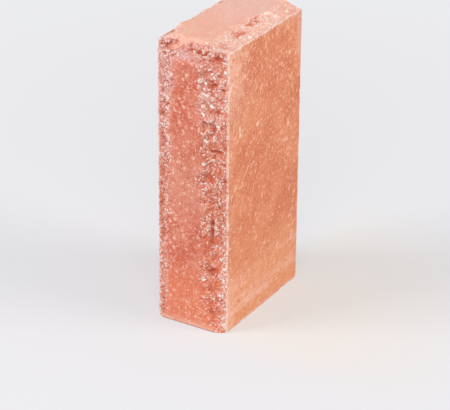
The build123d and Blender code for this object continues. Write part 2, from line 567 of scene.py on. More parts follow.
def rounded(points):
    """Points pulled onto the box with round edges"""
    radius = np.array([edge_radius(Vector(point)) for point in points])[:, None]
    inner = np.clip(points, np.array(low) + radius, np.array(high) - radius)
    away = points - inner
    length = np.linalg.norm(away, axis=1)[:, None]
    outside = (length > radius) & (length > 0)
    return np.where(outside, inner + away * radius / np.maximum(length, NEVER_ZERO), points)


points = rounded(np.array(vertices))
print("most worn off an edge mm", round(float(np.abs(points - np.array(vertices)).max()) / MM, 2))

# %% [markdown]
# The skin becomes a mesh with six values at each point: `broken`, 0 on the pressed skin and 1 on
# the break, `end_face`, 1 where the sheet lies on the end, `relief`, how far the point stands out
# of its surroundings in millimetres, `bowl`, how far those stand out of wider ones, `torn`, how
# deep a torn hole is there, and `limestone`, how much of it shows. The colours and the grains use
# them. Vertex groups could hold them, but only from 0 to 1. The skin is shaded smooth, and the
# break facet by facet, as a crystalline stone splits.

# %% Make the mesh
FACETED = 0.3
POINT_VALUES = {
    "broken": broken,
    "relief": relief,
    "bowl": bowl,
    "end_face": on_end,
    "torn": holes * broken / MM,
    "limestone": shares,
}


def make_object(name, data):
    """A new object in the scene that shows a mesh, lamp or camera"""
    made = bpy.data.objects.new(name, data)
    bpy.context.scene.collection.objects.link(made)
    return made


def on_all_points(values):
    """Values at the points of the sheet, and then 0 at those of the plain faces"""
    return np.concatenate([values.ravel(), np.zeros(len(points) - values.size)])


body_mesh = bpy.data.meshes.new("brick_body")
body_mesh.from_pydata(points.tolist(), [], faces)
shell = bmesh.new()
shell.from_mesh(body_mesh)
bmesh.ops.recalc_face_normals(shell, faces=shell.faces)
print("volume cm3", round(shell.calc_volume() / (10 * MM) ** 3, 1))
shell.to_mesh(body_mesh)
shell.free()
for name, values in POINT_VALUES.items():
    attribute = body_mesh.attributes.new(name, "FLOAT", "POINT")
    attribute.data.foreach_set("value", on_all_points(values))
breaking = on_all_points(broken)
smooth = [bool(max(breaking[list(face.vertices)]) < FACETED) for face in body_mesh.polygons]
body_mesh.polygons.foreach_set("use_smooth", smooth)
brick = make_object("brick_body", body_mesh)

# %% [markdown]
# ## Colours
# The pressed skin is orange where the mould polished it, and paler and pinker where salts have
# bloomed. On the end, which looks up to the lamps, its paleness is partly a painted sheen. The
# break is pinker still, and sprinkled with limestone. The colours are written as sRGB codes, as
# every picture program gives them, and one function turns them linear, because light adds up in
# linear values.


# %% Colours and nodes
def colour(code):
    """Linear colour of an sRGB code"""
    parts = [int(code[i : i + 2], 16) / 255 for i in (1, 3, 5)]
    return [c / 12.92 if c <= 0.04045 else ((c + 0.055) / 1.055) ** 2.4 for c in parts] + [1.0]


def socket(sockets, key):
    """The socket in use with a name or a number"""
    if isinstance(key, int):
        return sockets[key]
    return next(s for s in sockets if s.enabled and s.name == key)


def add(tree, kind, inputs=None, **settings):
    """A node with its settings. Each input is given a value, a node or a socket that feeds it"""
    made = tree.nodes.new(kind)
    for name, value in settings.items():
        setattr(made, name, value)
    for key, value in (inputs or {}).items():
        target = socket(made.inputs, key)
        if isinstance(value, bpy.types.Node):
            value = next(s for s in value.outputs if s.enabled)
        if isinstance(value, bpy.types.NodeSocket):
            tree.links.new(value, target)
        else:
            target.default_value = value
    return made


def new_material(name):
    """An empty material, its tree, and the object's own place in millimetres"""
    material = bpy.data.materials.new(name)
    material.use_nodes = True
    tree = material.node_tree
    tree.nodes.clear()
    own = add(tree, "ShaderNodeTexCoord").outputs["Object"]
    place = add(tree, "ShaderNodeVectorMath", {0: own, "Scale": 1 / MM}, operation="SCALE")
    return material, tree, place


print("the panel's orange, linear", [round(part, 3) for part in colour("#C65B3F")[:3]])

# %% [markdown]
# The colours are laid on in coats, as a scene painter would: a ground, and coats over it that
# fade along the height, towards an edge, with the relief of the break or in patches of noise.
# One helper lays the coats, so that each face of the brick is a short list of them. An image could
# be wrapped round the brick instead, but it would show seams and blur close up.

# %% Coats of colour
def painted(tree, ground, *coats):
    """A ground under coats. A coat has its colour, its strength and its fades, and a fade is a
    value, where on it the coat begins, and where it is full"""
    for code, strength, *fades in coats:
        for value, begins, full in fades:
            bounds = {"Value": value, "From Min": begins, "From Max": full, "To Max": strength}
            strength = add(tree, "ShaderNodeMapRange", bounds, interpolation_type="SMOOTHSTEP")
        mix = {"Factor": strength, "A": ground, "B": colour(code)}
        ground = add(tree, "ShaderNodeMix", mix, data_type="RGBA")
    return ground


PATCH_SIZES = (32, 20, 8, 4, 2.6, 1.1)
PATCH_DETAIL = 3.0


def brick_measures(tree, place):
    """What the coats fade with: the place in millimetres, the values kept on the mesh, and noise
    in patches of several sizes, named by their size in millimetres"""
    parts = add(tree, "ShaderNodeSeparateXYZ", {"Vector": place}).outputs
    at = {"across": parts["X"], "depth": parts["Y"], "height": parts["Z"]}
    at["side"] = add(tree, "ShaderNodeMath", {0: parts["X"]}, operation="ABSOLUTE")
    for name in POINT_VALUES:
        at[name] = add(tree, "ShaderNodeAttribute", attribute_name=name).outputs["Fac"]
    for size in PATCH_SIZES:
        patches = {"Vector": place, "Scale": 1 / size, "Detail": PATCH_DETAIL}
        at[size] = add(tree, "ShaderNodeTexNoise", patches)
    return at


def streaks(tree, place, squeeze, detail):
    """Noise that is squeezed across its streaks and stretched along them"""
    squeezed = add(tree, "ShaderNodeVectorMath", {0: place, 1: squeeze}, operation="MULTIPLY")
    return add(tree, "ShaderNodeTexNoise", {"Vector": squeezed, "Scale": 1.0, "Detail": detail})


# %% [markdown]
# Crushed stone shows in the pressed skin as pale specks of 1 to 4 mm. A Voronoi texture has one
# point in each cell, so a disc round it is one speck. Some cells stay empty, and the others differ
# in size and strength. The place is pushed about by noise first, and the reach of the disc changes
# from splinter to splinter, so that it looks broken and not round. Stones set in the mesh would
# lie level with the skin and show as no more than this.

# %% Specks
RAGGED_SIZE = 1.5
RAGGED_PUSH = 0.8
RAGGED_DETAIL = 1.0
NOISE_MIDDLE = (0.5, 0.5, 0.5)
SPLINTER_SIZE = 0.8
SPLINTER_REACH = (0.4, 1.6)
WEAKEST_SPECK = 0.25
SPECK_EDGE = (-0.06, 0.12)


def ragged(tree, place, size, push):
    """A place pushed about by noise, so that what is drawn there gets a ragged outline"""
    waving = {"Vector": place, "Scale": 1 / size, "Detail": RAGGED_DETAIL}
    waves = add(tree, "ShaderNodeTexNoise", waving).outputs["Color"]
    around = add(tree, "ShaderNodeVectorMath", {0: waves, 1: NOISE_MIDDLE}, operation="SUBTRACT")
    step = add(tree, "ShaderNodeVectorMath", {0: around, "Scale": 2 * push}, operation="SCALE")
    return add(tree, "ShaderNodeVectorMath", {0: place, 1: step})


def specks(tree, place, size, radius, rarity):
    """Strength of the specks at a place, one speck at most in each cell"""
    cells = add(tree, "ShaderNodeTexVoronoi", {"Vector": place, "Scale": 1 / size})
    chance = add(tree, "ShaderNodeSeparateColor", {"Color": cells.outputs["Color"]}).outputs
    own = {"Value": chance[0], "From Min": rarity, "To Max": radius / size}
    own_radius = add(tree, "ShaderNodeMapRange", own)
    splinters = add(tree, "ShaderNodeTexVoronoi", {"Vector": place, "Scale": 1 / SPLINTER_SIZE})
    shortest, longest = SPLINTER_REACH
    stretch = {"Value": splinters.outputs["Color"], "To Min": shortest, "To Max": longest}
    length = add(tree, "ShaderNodeMapRange", stretch)
    reach = add(tree, "ShaderNodeMath", {0: own_radius, 1: length}, operation="MULTIPLY")
    within = {0: reach, 1: cells.outputs["Distance"]}
    inside = add(tree, "ShaderNodeMath", within, operation="SUBTRACT")
    strength = add(tree, "ShaderNodeMapRange", {"Value": chance[1], "To Min": WEAKEST_SPECK})
    outer, inner = SPECK_EDGE
    edge = {"Value": inside, "From Min": outer, "From Max": inner, "To Max": strength}
    return add(tree, "ShaderNodeMapRange", edge, interpolation_type="SMOOTHSTEP")


def speckled(tree, shade, place, kinds, code):
    """A shade under several kinds of specks, each with its cell, radius, rarity and strength"""
    for size, radius, rarity, strength in kinds:
        found = specks(tree, place, size, radius, rarity)
        shade = painted(tree, shade, (code, strength, (found, 0, 1)))
    return shade


# %% [markdown]
# The bed that shows was scraped when the brick was handled. Each scratch is a straight stroke from
# one place to another, as (y, z) in millimetres, with its half width. It is a coat of pale colour
# that fades across the stroke and at its two ends. A real one is too shallow to be cut into the
# mesh.

# %% Scratches
SCRATCHES = (
    ((-36.9, 167.2), (-37.1, 179.4), 1.0),
    ((-51.0, 233.5), (-42.8, 236.8), 0.9),
    ((-53.0, 224.0), (-46.5, 227.5), 0.8),
    ((-54.0, 208.0), (-49.0, 221.0), 0.9),
    ((-11.0, 168.0), (-9.4, 172.4), 1.6),
    ((-30.5, 131.0), (-22.0, 139.0), 0.6),
    ((-22.0, 134.0), (-12.5, 141.0), 0.6),
    ((48.5, 40.0), (51.5, 50.0), 0.8),
)
SCRATCH_CORE = 0.2
SCRATCH_TAPER = 2.0
TO_NEAR_BED = (0, 10)


def scratch(tree, at, start, end, width):
    """A coat's fades for a scratch: across it, at its two ends, and away from the other bed"""
    (start_y, start_z), (end_y, end_z) = start, end
    lean = (end_y - start_y) / (end_z - start_z)
    line = {0: at["height"], 1: lean, 2: start_y - lean * start_z}
    middle = add(tree, "ShaderNodeMath", line, operation="MULTIPLY_ADD")
    off = add(tree, "ShaderNodeMath", {0: at["depth"], 1: middle}, operation="SUBTRACT")
    across = add(tree, "ShaderNodeMath", {0: off}, operation="ABSOLUTE")
    start_fade = (at["height"], start_z, start_z + SCRATCH_TAPER)
    end_fade = (at["height"], end_z, end_z - SCRATCH_TAPER)
    on_near_bed = (at["across"], *TO_NEAR_BED)
    return (across, width, SCRATCH_CORE * width), start_fade, end_fade, on_near_bed


print("scratches", len(SCRATCHES))

# %% [markdown]
# ## Pressed skin
# The steel of the mould leaves a smooth skin. On the long panel it is orange low down, pinker
# half way up and deep red above, with specks in clusters. The back has the same skin. A Color
# Ramp along the height could give the bands, but a coat can follow height and noise at once.

# %% Long panel
PANEL_SPECKS = ((4.6, 2.1, 0.6), (3.0, 1.4, 0.8), (1.9, 0.9, 0.8))
PANEL_CLUSTERS = {"From Min": 0.38, "From Max": 0.62, "To Min": 0.65, "To Max": 0.1}


def front_skin(tree, place, at):
    """The long panel, with peach specks in clusters"""
    shade = painted(
        tree,
        colour("#C65B3F"),
        ("#D27860", 1.0, (at[20], 0.38, 0.62)),
        ("#CF7F63", 0.5, (at["height"], 90, 125), (at["height"], 185, 150)),
        ("#E0A190", 0.26, (at["height"], 90, 112), (at["height"], 146, 132)),
        ("#DD7854", 1.0, (at["height"], 70, 30)),
        ("#E39B81", 1.0, (at["height"], 9, 2)),
        ("#B34F35", 0.5, (at[8], 0.5, 0.66), (at["height"], 30, 80)),
        ("#E5A08A", 0.5, (at[4], 0.5, 0.68)),
        ("#B2563A", 0.35, (at[2.6], 0.52, 0.72)),
    )
    rarity = add(tree, "ShaderNodeMapRange", {"Value": at[8], **PANEL_CLUSTERS})
    kinds = [(size, radius, rarity, strength) for size, radius, strength in PANEL_SPECKS]
    return speckled(tree, shade, place, kinds, "#F2C6B0")


# %% [markdown]
# On the beds the specks are drawn out and lean, as if rubbed along the steel, and are clearest
# near the top. A Mapping node draws out the place before the specks are looked up, so the helper
# for specks serves here too. The far bed takes them from another stretch of the pattern, so that
# it is no copy of the near one.

# %% Specks of the beds
BED_SPECKS = ((4.5, 2.2, 0.8), (2.6, 1.35, 0.85), (1.7, 0.9, 0.75))
UPPER_BED = {"From Min": 120, "From Max": 220}
FAINTEST_SPECKS = 0.85
RARITY_LOW, RARITY_CHANGE_UP, RARITY_PATCHES = 1.15, -0.2, -1.6
DRAWN_OUT = (1.0, 1.0, 1.8)
DRAWN_LEAN = math.radians(-30)
FAR_BED_SHIFT = (1, 0, 3)


def bed_kinds(tree, at):
    """The kinds of specks on the beds, rarer in patches and fainter low down"""
    up = add(tree, "ShaderNodeMapRange", {"Value": at["height"], **UPPER_BED})
    even = {0: up, 1: RARITY_CHANGE_UP, 2: RARITY_LOW}
    base = add(tree, "ShaderNodeMath", even, operation="MULTIPLY_ADD")
    patchy = {0: at[20], 1: RARITY_PATCHES, 2: base}
    rarity = add(tree, "ShaderNodeMath", patchy, operation="MULTIPLY_ADD", use_clamp=True)
    fainter = add(tree, "ShaderNodeMapRange", {"Value": up, "To Min": FAINTEST_SPECKS})
    kinds = []
    for size, radius, strength in BED_SPECKS:
        cover = add(tree, "ShaderNodeMath", {0: fainter, 1: strength}, operation="MULTIPLY")
        kinds.append((size, radius, rarity, cover.outputs[0]))
    return kinds


def drawn_out(tree, place, at):
    """A place drawn out along a leaning line, and shifted on the far bed"""
    far = add(tree, "ShaderNodeMath", {0: at["side"], 1: at["across"]}, operation="SUBTRACT")
    moved = {0: FAR_BED_SHIFT, "Scale": far}
    shift = add(tree, "ShaderNodeVectorMath", moved, operation="SCALE")
    dealt = add(tree, "ShaderNodeVectorMath", {0: place, 1: shift})
    leaning = {"Vector": dealt, "Rotation": (DRAWN_LEAN, 0, 0), "Scale": DRAWN_OUT}
    return add(tree, "ShaderNodeMapping", leaning, vector_type="TEXTURE")


# %% [markdown]
# The beds are orange, and lighter low down, partly as painted light thrown up from the floor. Pale
# drag lines run along the foot, and pale dust hangs below the struck arris, at the front and along
# the rims. The rims and the back edge also carry a painted highlight, where an edge catches the
# light. The drag lines are noise that is squeezed across them and stretched along them, which a
# Wave texture would draw too evenly.

# %% Beds
DRAG_LINES = ((0, 0.012, 0.14), 2.0)
DUST_FALLS = ((0, 0.7, 0.1), 2.0)
RIM_WAVER = 7.0


def bed_skin(tree, place, at):
    """The beds: orange, streaked, paler at the foot partly as painted light, dusty towards the long
    face
    """
    lines, falls = streaks(tree, place, *DRAG_LINES), streaks(tree, place, *DUST_FALLS)
    shade = painted(
        tree,
        colour("#CF734A"),
        ("#DB885F", 1.0, (at[32], 0.38, 0.62)),
        # Lighter and oranger towards the foot, partly as painted light thrown up from the floor
        ("#E3996E", 1.0, (at["height"], 85, 25)),
        ("#EBB49F", 0.45, (at["height"], 60, 38), (at["height"], 18, 24), (lines, 0.48, 0.62)),
        ("#EFBAA5", 0.8, (at["height"], 25, 19), (at["height"], 9, 13), (lines, 0.35, 0.55)),
        ("#F0BEA8", 0.6, (at["depth"], -40, -53), (at["height"], 60, 20)),
        ("#EFBBA4", 0.7, (at["depth"], -18, -48), (at["height"], 165, 225), (at[8], 0.3, 0.6)),
        ("#F4C9B4", 0.35, (at["depth"], -10, -45), (at["height"], 150, 215), (falls, 0.48, 0.62)),
        ("#E6AC90", 0.4, (at["depth"], -38, -52), (at[4], 0.35, 0.65)),
        ("#C2603C", 0.45, (at[2.6], 0.5, 0.7)),
    )
    drawn = drawn_out(tree, place, at)
    shade = speckled(tree, shade, drawn, bed_kinds(tree, at), "#F7C7AB")
    rims = [{0: at[8], 1: RIM_WAVER, 2: at[way]} for way in ("depth", "height")]
    front_rim, top_rim = (add(tree, "ShaderNodeMath", r, operation="MULTIPLY_ADD") for r in rims)
    return painted(
        tree,
        shade,
        *(("#FBE0D2", 1.0, *scratch(tree, at, *stroke)) for stroke in SCRATCHES),
        # Pale dust and a painted highlight along the rims by the struck arrises
        ("#F8D8C6", 0.9, (front_rim, -49.2, -51), (at[2.6], 0.35, 0.5)),
        ("#F9DFD0", 0.9, (top_rim, 246.8, 248.6), (at[2.6], 0.35, 0.5)),
        # Painted highlight along the back edge of the bed
        ("#F2C7AF", 0.6, (at["depth"], 57.5, 59.5), (at[20], 0.4, 0.55)),
        ("#DCA491", 0.8, (at["depth"], 50.5, 54.5), (at["height"], 195, 220), (at[4], 0.3, 0.45)),
        ("#DA9D86", 0.55, (at["height"], 237, 243), (at["depth"], 15, 40), (at[4], 0.35, 0.5)),
    )


# %% [markdown]
# The end's panel lay against the side of the mould. It is pale, orange near the long face and
# pinker behind, with faint lines along it and small specks, made as those of the beds are. Its
# paleness is partly a painted sheen, for the end looks up to the lamps.

# %% End panel
END_SPECKS = ((2.6, 1.1, 0.4, 0.35), (1.5, 0.7, 0.3, 0.35))
END_LINES = ((0.5, 0.08, 0), 3.0)


def end_skin(tree, place, at):
    """The end's panel: pale orange near the long face and pinker behind, partly painted sheen"""
    lines = streaks(tree, place, *END_LINES)
    shade = painted(
        tree,
        # Pale partly as a painted sheen on the face that looks up
        colour("#EBAB93"),
        ("#EAB5A8", 1.0, (at["depth"], -30, 30)),
        ("#EBC1AE", 0.4, (at[8], 0.4, 0.65)),
        ("#ECD0C3", 0.35, (lines, 0.48, 0.66)),
        ("#E79377", 0.18, (at[2.6], 0.5, 0.7)),
        ("#D6937E", 0.3, (at[1.1], 0.48, 0.3)),
    )
    return speckled(tree, shade, place, END_SPECKS, "#EEDDD3")


# %% [markdown]
# The three skins meet where one face turns into the next. Over them all lie fine grit and a pale
# worn line just above the floor, and a dark brown line of painted contact shadow runs along the
# foot of the long face. A material for each face would leave a sharp seam of colour where they
# meet.

# %% All pressed skin
TO_END = (0.6, 0.9)
TO_BED = (31.8, 32.4)


def skin_colour(tree, place, at):
    """All pressed skin, with its grit, its worn foot and a painted shadow at the long face's foot
    """
    turns = (at["end_face"], *TO_END), (at["side"], *TO_BED)
    limits = [{"Value": v, "From Min": begins, "From Max": full} for v, begins, full in turns]
    on_end, on_bed = (add(tree, "ShaderNodeMapRange", limit) for limit in limits)
    pushed = ragged(tree, place, RAGGED_SIZE, RAGGED_PUSH)
    front, end = front_skin(tree, pushed, at), end_skin(tree, pushed, at)
    shade = add(tree, "ShaderNodeMix", {"Factor": on_end, "A": front, "B": end}, data_type="RGBA")
    both = {"Factor": on_bed, "A": shade, "B": bed_skin(tree, pushed, at)}
    shade = add(tree, "ShaderNodeMix", both, data_type="RGBA")
    return painted(
        tree,
        shade,
        ("#F2B89E", 0.3, (at[1.1], 0.48, 0.66)),
        ("#B45A3F", 0.25, (at[1.1], 0.48, 0.3), (on_end, 1, 0)),
        ("#F0C0AB", 0.5, (at["height"], 3.6, 2.2), (at["height"], 0.8, 1.4), (at[4], 0.35, 0.6)),
        # Painted contact shadow: a dark brown line along the foot of the long face
        ("#74382A", 0.7, (at["height"], 0.8, 0.3), (at["depth"], -48, -56)),
    )


# %% [markdown]
# ## Broken stone
# A fresh break shows every grain in its own tint. The coats over them paint the hollows dark red
# as painted shade, paint the ridges pale, partly for crushed dust and partly as a painted
# highlight, and make the limestone white. The end is paler, partly as a painted sheen of the face
# that looks up to the lamps, and sparkles where grains have split. The left margin has greyer
# painted shade in its hollows and whiter painted highlights on its ridges. One facet near the top
# of the long face has split along a lilac stone. Real grains are finer than the render can show,
# so they are drawn 1.3 mm wide.

# %% Broken stone
GRAIN_TINT_SIZE = 1.3
WHITE_SPECKS = ((3.2, 1.3, 0.6), (1.8, 0.9, 0.45))
LILAC_FACET = Vector((-9.4, -57.5, 236.5))


def break_colour(tree, place, at):
    """The break: grains in own tints, painted shade in hollows, dust and painted highlight on top
    """
    cells = add(tree, "ShaderNodeTexVoronoi", {"Vector": place, "Scale": 1 / GRAIN_TINT_SIZE})
    chance = add(tree, "ShaderNodeSeparateColor", {"Color": cells.outputs["Color"]}).outputs
    showing = (at["limestone"], 0, 1)
    on_end, off_end = (at["end_face"], *TO_END), (at["end_face"], *reversed(TO_END))
    left = (at["across"], -13, -19), (at["height"], 0, 9)
    from_facet = {0: place, 1: LILAC_FACET}
    facet = add(tree, "ShaderNodeVectorMath", from_facet, operation="DISTANCE").outputs["Value"]
    return painted(
        tree,
        colour("#D06C4F"),
        ("#EFA98D", 1.0, (chance[0], 0, 1)),
        ("#F0AFA6", 0.2, (at["height"], 120, 200)),
        ("#EE8A68", 0.6, (at["height"], 110, 60)),
        ("#CC603F", 0.45, (at[8], 0.45, 0.65)),
        ("#C45E42", 0.2, (at["height"], 60, 85), (at["height"], 175, 150), (at["across"], -5, 10)),
        # The end's break is paler, partly as a painted sheen of the face that looks up
        ("#F2C4B2", 0.75, on_end),
        ("#CC948B", 0.25, (at["across"], -17, -24), off_end),
        ("#E0B3AE", 0.3, (at["height"], 180, 215), (at["across"], 40, -10), off_end),
        ("#A04A33", 0.4, (chance[1], 0.76, 0.92), (at[4], 0.4, 0.6), off_end),
        ("#F2E0D9", 0.65, (chance[2], 0.78, 0.92), (at["limestone"], 0.1, 0.8)),
        ("#F6ECE6", 0.85, (chance[1], 0.86, 0.93), on_end),
        # Painted shade: darker, redder hollows, and greyer ones on the left margin
        ("#D0643F", 0.6, (at["bowl"], -0.25, -0.9)),
        ("#C04C2E", 0.65, (at["relief"], -0.2, -1.0), (at["end_face"], 1.6, 0.6)),
        ("#A85442", 0.65, (at["relief"], 0.0, -0.7), *left),
        # Pale crushed dust and a painted highlight on what stands out
        ("#F1DDD4", 0.5, (at["relief"], 0.15, 0.8)),
        ("#F4E6DF", 0.5, (at["relief"], 0.1, 0.6), *left),
        # Painted shade in the torn holes, wider and redder on the end
        ("#A54A36", 0.55, (at["torn"], 0.25, 1.0), off_end, (at[1.1], 0.38, 0.55)),
        ("#D8704E", 0.8, (at["torn"], 0.05, 0.6), on_end, (at[1.1], 0.4, 0.54)),
        ("#E9BDBB", 0.6, (facet, 6, 2.5)),
        ("#F3E5DC", 0.8, (at["side"], 26.5, 31), (at["height"], 110, 50), (at[2.6], 0.48, 0.6)),
        *(("#F4EFEB", 0.9, (specks(tree, place, *kind), 0, 1), showing) for kind in WHITE_SPECKS),
        # Pale dust and a painted highlight along the arris next to the bed
        ("#F2DED5", 0.75, (at["side"], 30.5, 32.1), (at[2.6], 0.35, 0.55)),
    )


# %% [markdown]
# The skin and the break share one material, mixed by what the mesh keeps. Stone dust and cement
# have the refraction of quartz and lime, about 1.45 once porous. Pressed against steel it is dull
# and nearly even, so it gives the eye a faint, wide sheen. Broken, it is rougher and gritty and
# gives none. The grit is 0.8 mm wide and only bump, because the mesh is too coarse for it.

# %% The brick's material
STONE_IOR = 1.45
SKIN_ROUGHNESS = 0.6
BREAK_ROUGHNESS = 0.9
GRIT_WIDTH = 0.8
GRIT_DETAIL = 4.0
GRIT_BUMP = 0.9 * MM
SKIN_GRIT = 0.12
TO_BREAK = (32.49, 32.4)


def brick_material():
    """Pressed skin and broken stone in one material, told apart by the mesh"""
    material, tree, place = new_material("hyper_pressed_stone_dust")
    at = brick_measures(tree, place)
    bed, beside = TO_BREAK
    off_bed = {"Value": at["side"], "From Min": bed, "From Max": beside, "To Max": at["broken"]}
    is_broken = add(tree, "ShaderNodeMapRange", off_bed)
    skin, broken_stone = skin_colour(tree, place, at), break_colour(tree, place, at)
    both = {"Factor": is_broken, "A": skin, "B": broken_stone}
    shade = add(tree, "ShaderNodeMix", both, data_type="RGBA")
    gritty = {"Vector": place, "Scale": 1 / GRIT_WIDTH, "Detail": GRIT_DETAIL}
    grit = add(tree, "ShaderNodeTexNoise", gritty)
    strength = add(tree, "ShaderNodeMapRange", {"Value": is_broken, "To Min": SKIN_GRIT})
    raised = {"Height": grit, "Distance": GRIT_BUMP, "Strength": strength}
    bump = add(tree, "ShaderNodeBump", raised)
    dulled = {"Value": is_broken, "To Min": SKIN_ROUGHNESS, "To Max": BREAK_ROUGHNESS}
    roughness = add(tree, "ShaderNodeMapRange", dulled)
    finish = {"Base Color": shade, "Roughness": roughness, "Normal": bump, "IOR": STONE_IOR}
    surface = add(tree, "ShaderNodeBsdfPrincipled", finish)
    add(tree, "ShaderNodeOutputMaterial", {"Surface": surface})
    return material


stone = brick_material()
body_mesh.materials.append(stone)
print(stone.name, "has", len(stone.node_tree.nodes), "nodes")

# %% [markdown]
# ## Limestone grains
# The dust holds crushed limestone. On the break its grains stand out, angular and nearly white.
# Crushed limestone is dull, a little smoother than the dust round it, and each piece has a tint
# of its own, from cream to white. The Geometry node has one random number for each loose piece of
# a mesh, so one material serves them all.

# %% Limestone
LIMESTONE_ROUGHNESS = 0.7


def limestone_material():
    """Crushed limestone, each grain of its own tint between cream and white"""
    material, tree, _ = new_material("crushed_limestone")
    chance = add(tree, "ShaderNodeNewGeometry").outputs["Random Per Island"]
    shade = painted(tree, colour("#E6CBBF"), ("#F3ECE7", 1.0, (chance, 0, 1)))
    finish = {"Base Color": shade, "Roughness": LIMESTONE_ROUGHNESS}
    surface = add(tree, "ShaderNodeBsdfPrincipled", finish)
    add(tree, "ShaderNodeOutputMaterial", {"Surface": surface})
    return material


limestone = limestone_material()
print(limestone.name, "has", len(limestone.node_tree.nodes), "nodes")

# %% [markdown]
# There are about a thousand small grains, so Geometry Nodes scatter them over the skin, as many as
# its limestone value asks. Each grain is a ball of 20 faces, turned and squashed at random. A loop
# in Python could place them too, but the tree is quicker, and its sizes are inputs that can be
# changed.

# %% Tree of the grains
RARE_LARGE = 2.4
FLATTEST = 0.55
BALL_FACES = 20
GRAIN_INPUTS = {
    "Grains per square metre": ("NodeSocketFloat", 110000.0),
    "Smallest radius": ("NodeSocketFloat", 0.28 * MM),
    "Largest radius": ("NodeSocketFloat", 1.15 * MM),
    "Seed": ("NodeSocketInt", 4),
    "Stone": ("NodeSocketMaterial", limestone),
}


def grain_tree():
    """Geometry Nodes that turn the broken skin into grains that stand out of it"""
    tree = bpy.data.node_groups.new("limestone_grains", "GeometryNodeTree")
    tree.interface.new_socket("Skin", in_out="INPUT", socket_type="NodeSocketGeometry")
    for name, (kind, _) in GRAIN_INPUTS.items():
        tree.interface.new_socket(name, in_out="INPUT", socket_type=kind)
    tree.interface.new_socket("Grains", in_out="OUTPUT", socket_type="NodeSocketGeometry")
    given = add(tree, "NodeGroupInput").outputs
    share = add(tree, "GeometryNodeInputNamedAttribute", {"Name": "limestone"}, data_type="FLOAT")
    both = {0: share, 1: given["Grains per square metre"]}
    density = add(tree, "ShaderNodeMath", both, operation="MULTIPLY")
    strewn = {"Mesh": given["Skin"], "Density": density, "Seed": given["Seed"]}
    spots = add(tree, "GeometryNodeDistributePointsOnFaces", strewn)
    chance = add(tree, "FunctionNodeRandomValue", {"Seed": given["Seed"]}, data_type="FLOAT")
    rare = add(tree, "ShaderNodeMath", {0: chance, 1: RARE_LARGE}, operation="POWER")
    smallest, largest = given["Smallest radius"], given["Largest radius"]
    sizes = {"Value": rare, "To Min": smallest, "To Max": largest}
    radius = add(tree, "ShaderNodeMapRange", sizes)
    squash = {"Min": (FLATTEST,) * 3, "Max": (1.0,) * 3}
    shape = add(tree, "FunctionNodeRandomValue", squash, data_type="FLOAT_VECTOR")
    size = add(tree, "ShaderNodeVectorMath", {0: shape, "Scale": radius}, operation="SCALE")
    any_way = {"Min": (0,) * 3, "Max": (math.tau,) * 3}
    turn = add(tree, "FunctionNodeRandomValue", any_way, data_type="FLOAT_VECTOR")
    ball = add(tree, "GeometryNodeMeshIcoSphere", {"Radius": 1.0, "Subdivisions": 1})
    laid = {"Points": spots, "Instance": ball, "Rotation": turn, "Scale": size}
    grains = add(tree, "GeometryNodeInstanceOnPoints", laid)
    solid_grains = add(tree, "GeometryNodeRealizeInstances", {"Geometry": grains})
    finished = {"Geometry": solid_grains, "Material": given["Stone"]}
    add(tree, "NodeGroupOutput", {"Grains": add(tree, "GeometryNodeSetMaterial", finished)})
    return tree


print("inputs of the grains:", ", ".join(GRAIN_INPUTS))

# %% [markdown]
# The tree runs on a copy of the skin, and its result is kept as a plain mesh. Applying the modifier
# would give the same, but by an operator that depends on what is selected. Points outside the
# model's box are pulled back into it, so that the brick stays its real size.

# %% Scatter the grains
BURIED = Vector((0.02, 0.02, 0.02)) * MM
grain_low, grain_high = low + BURIED, high - BURIED


def kept_inside(place):
    """A place pulled back into the model's box, to just under its faces"""
    limits = zip(grain_low, grain_high, place)
    return [max(lowest, min(highest, part)) for lowest, highest, part in limits]


def scattered_grains():
    """The grains as a plain mesh inside the model's box"""
    tree = grain_tree()
    host = make_object("limestone_host", body_mesh.copy())
    scatter = host.modifiers.new("limestone_grains", "NODES")
    scatter.node_group = tree
    for item in tree.interface.items_tree:
        if item.name in GRAIN_INPUTS:
            scatter[item.identifier] = GRAIN_INPUTS[item.name][1]
    ready = host.evaluated_get(bpy.context.evaluated_depsgraph_get())
    mesh = bpy.data.meshes.new_from_object(ready)
    bpy.data.objects.remove(host)
    for corner in mesh.vertices:
        corner.co = kept_inside(corner.co)
    mesh.name = "limestone_grains"
    return mesh


grain_mesh = scattered_grains()
grains = make_object("limestone_grains", grain_mesh)
print("grains", len(grain_mesh.polygons) // BALL_FACES, "faces", len(grain_mesh.polygons))

# %% [markdown]
# A few stones are larger than the dust should hold, and the eye knows the brick by them. So they
# aren't scattered but set one by one where the photo shows them. Each is its place across the face
# and along it, its width, its length and its lean in degrees, with sizes in millimetres.

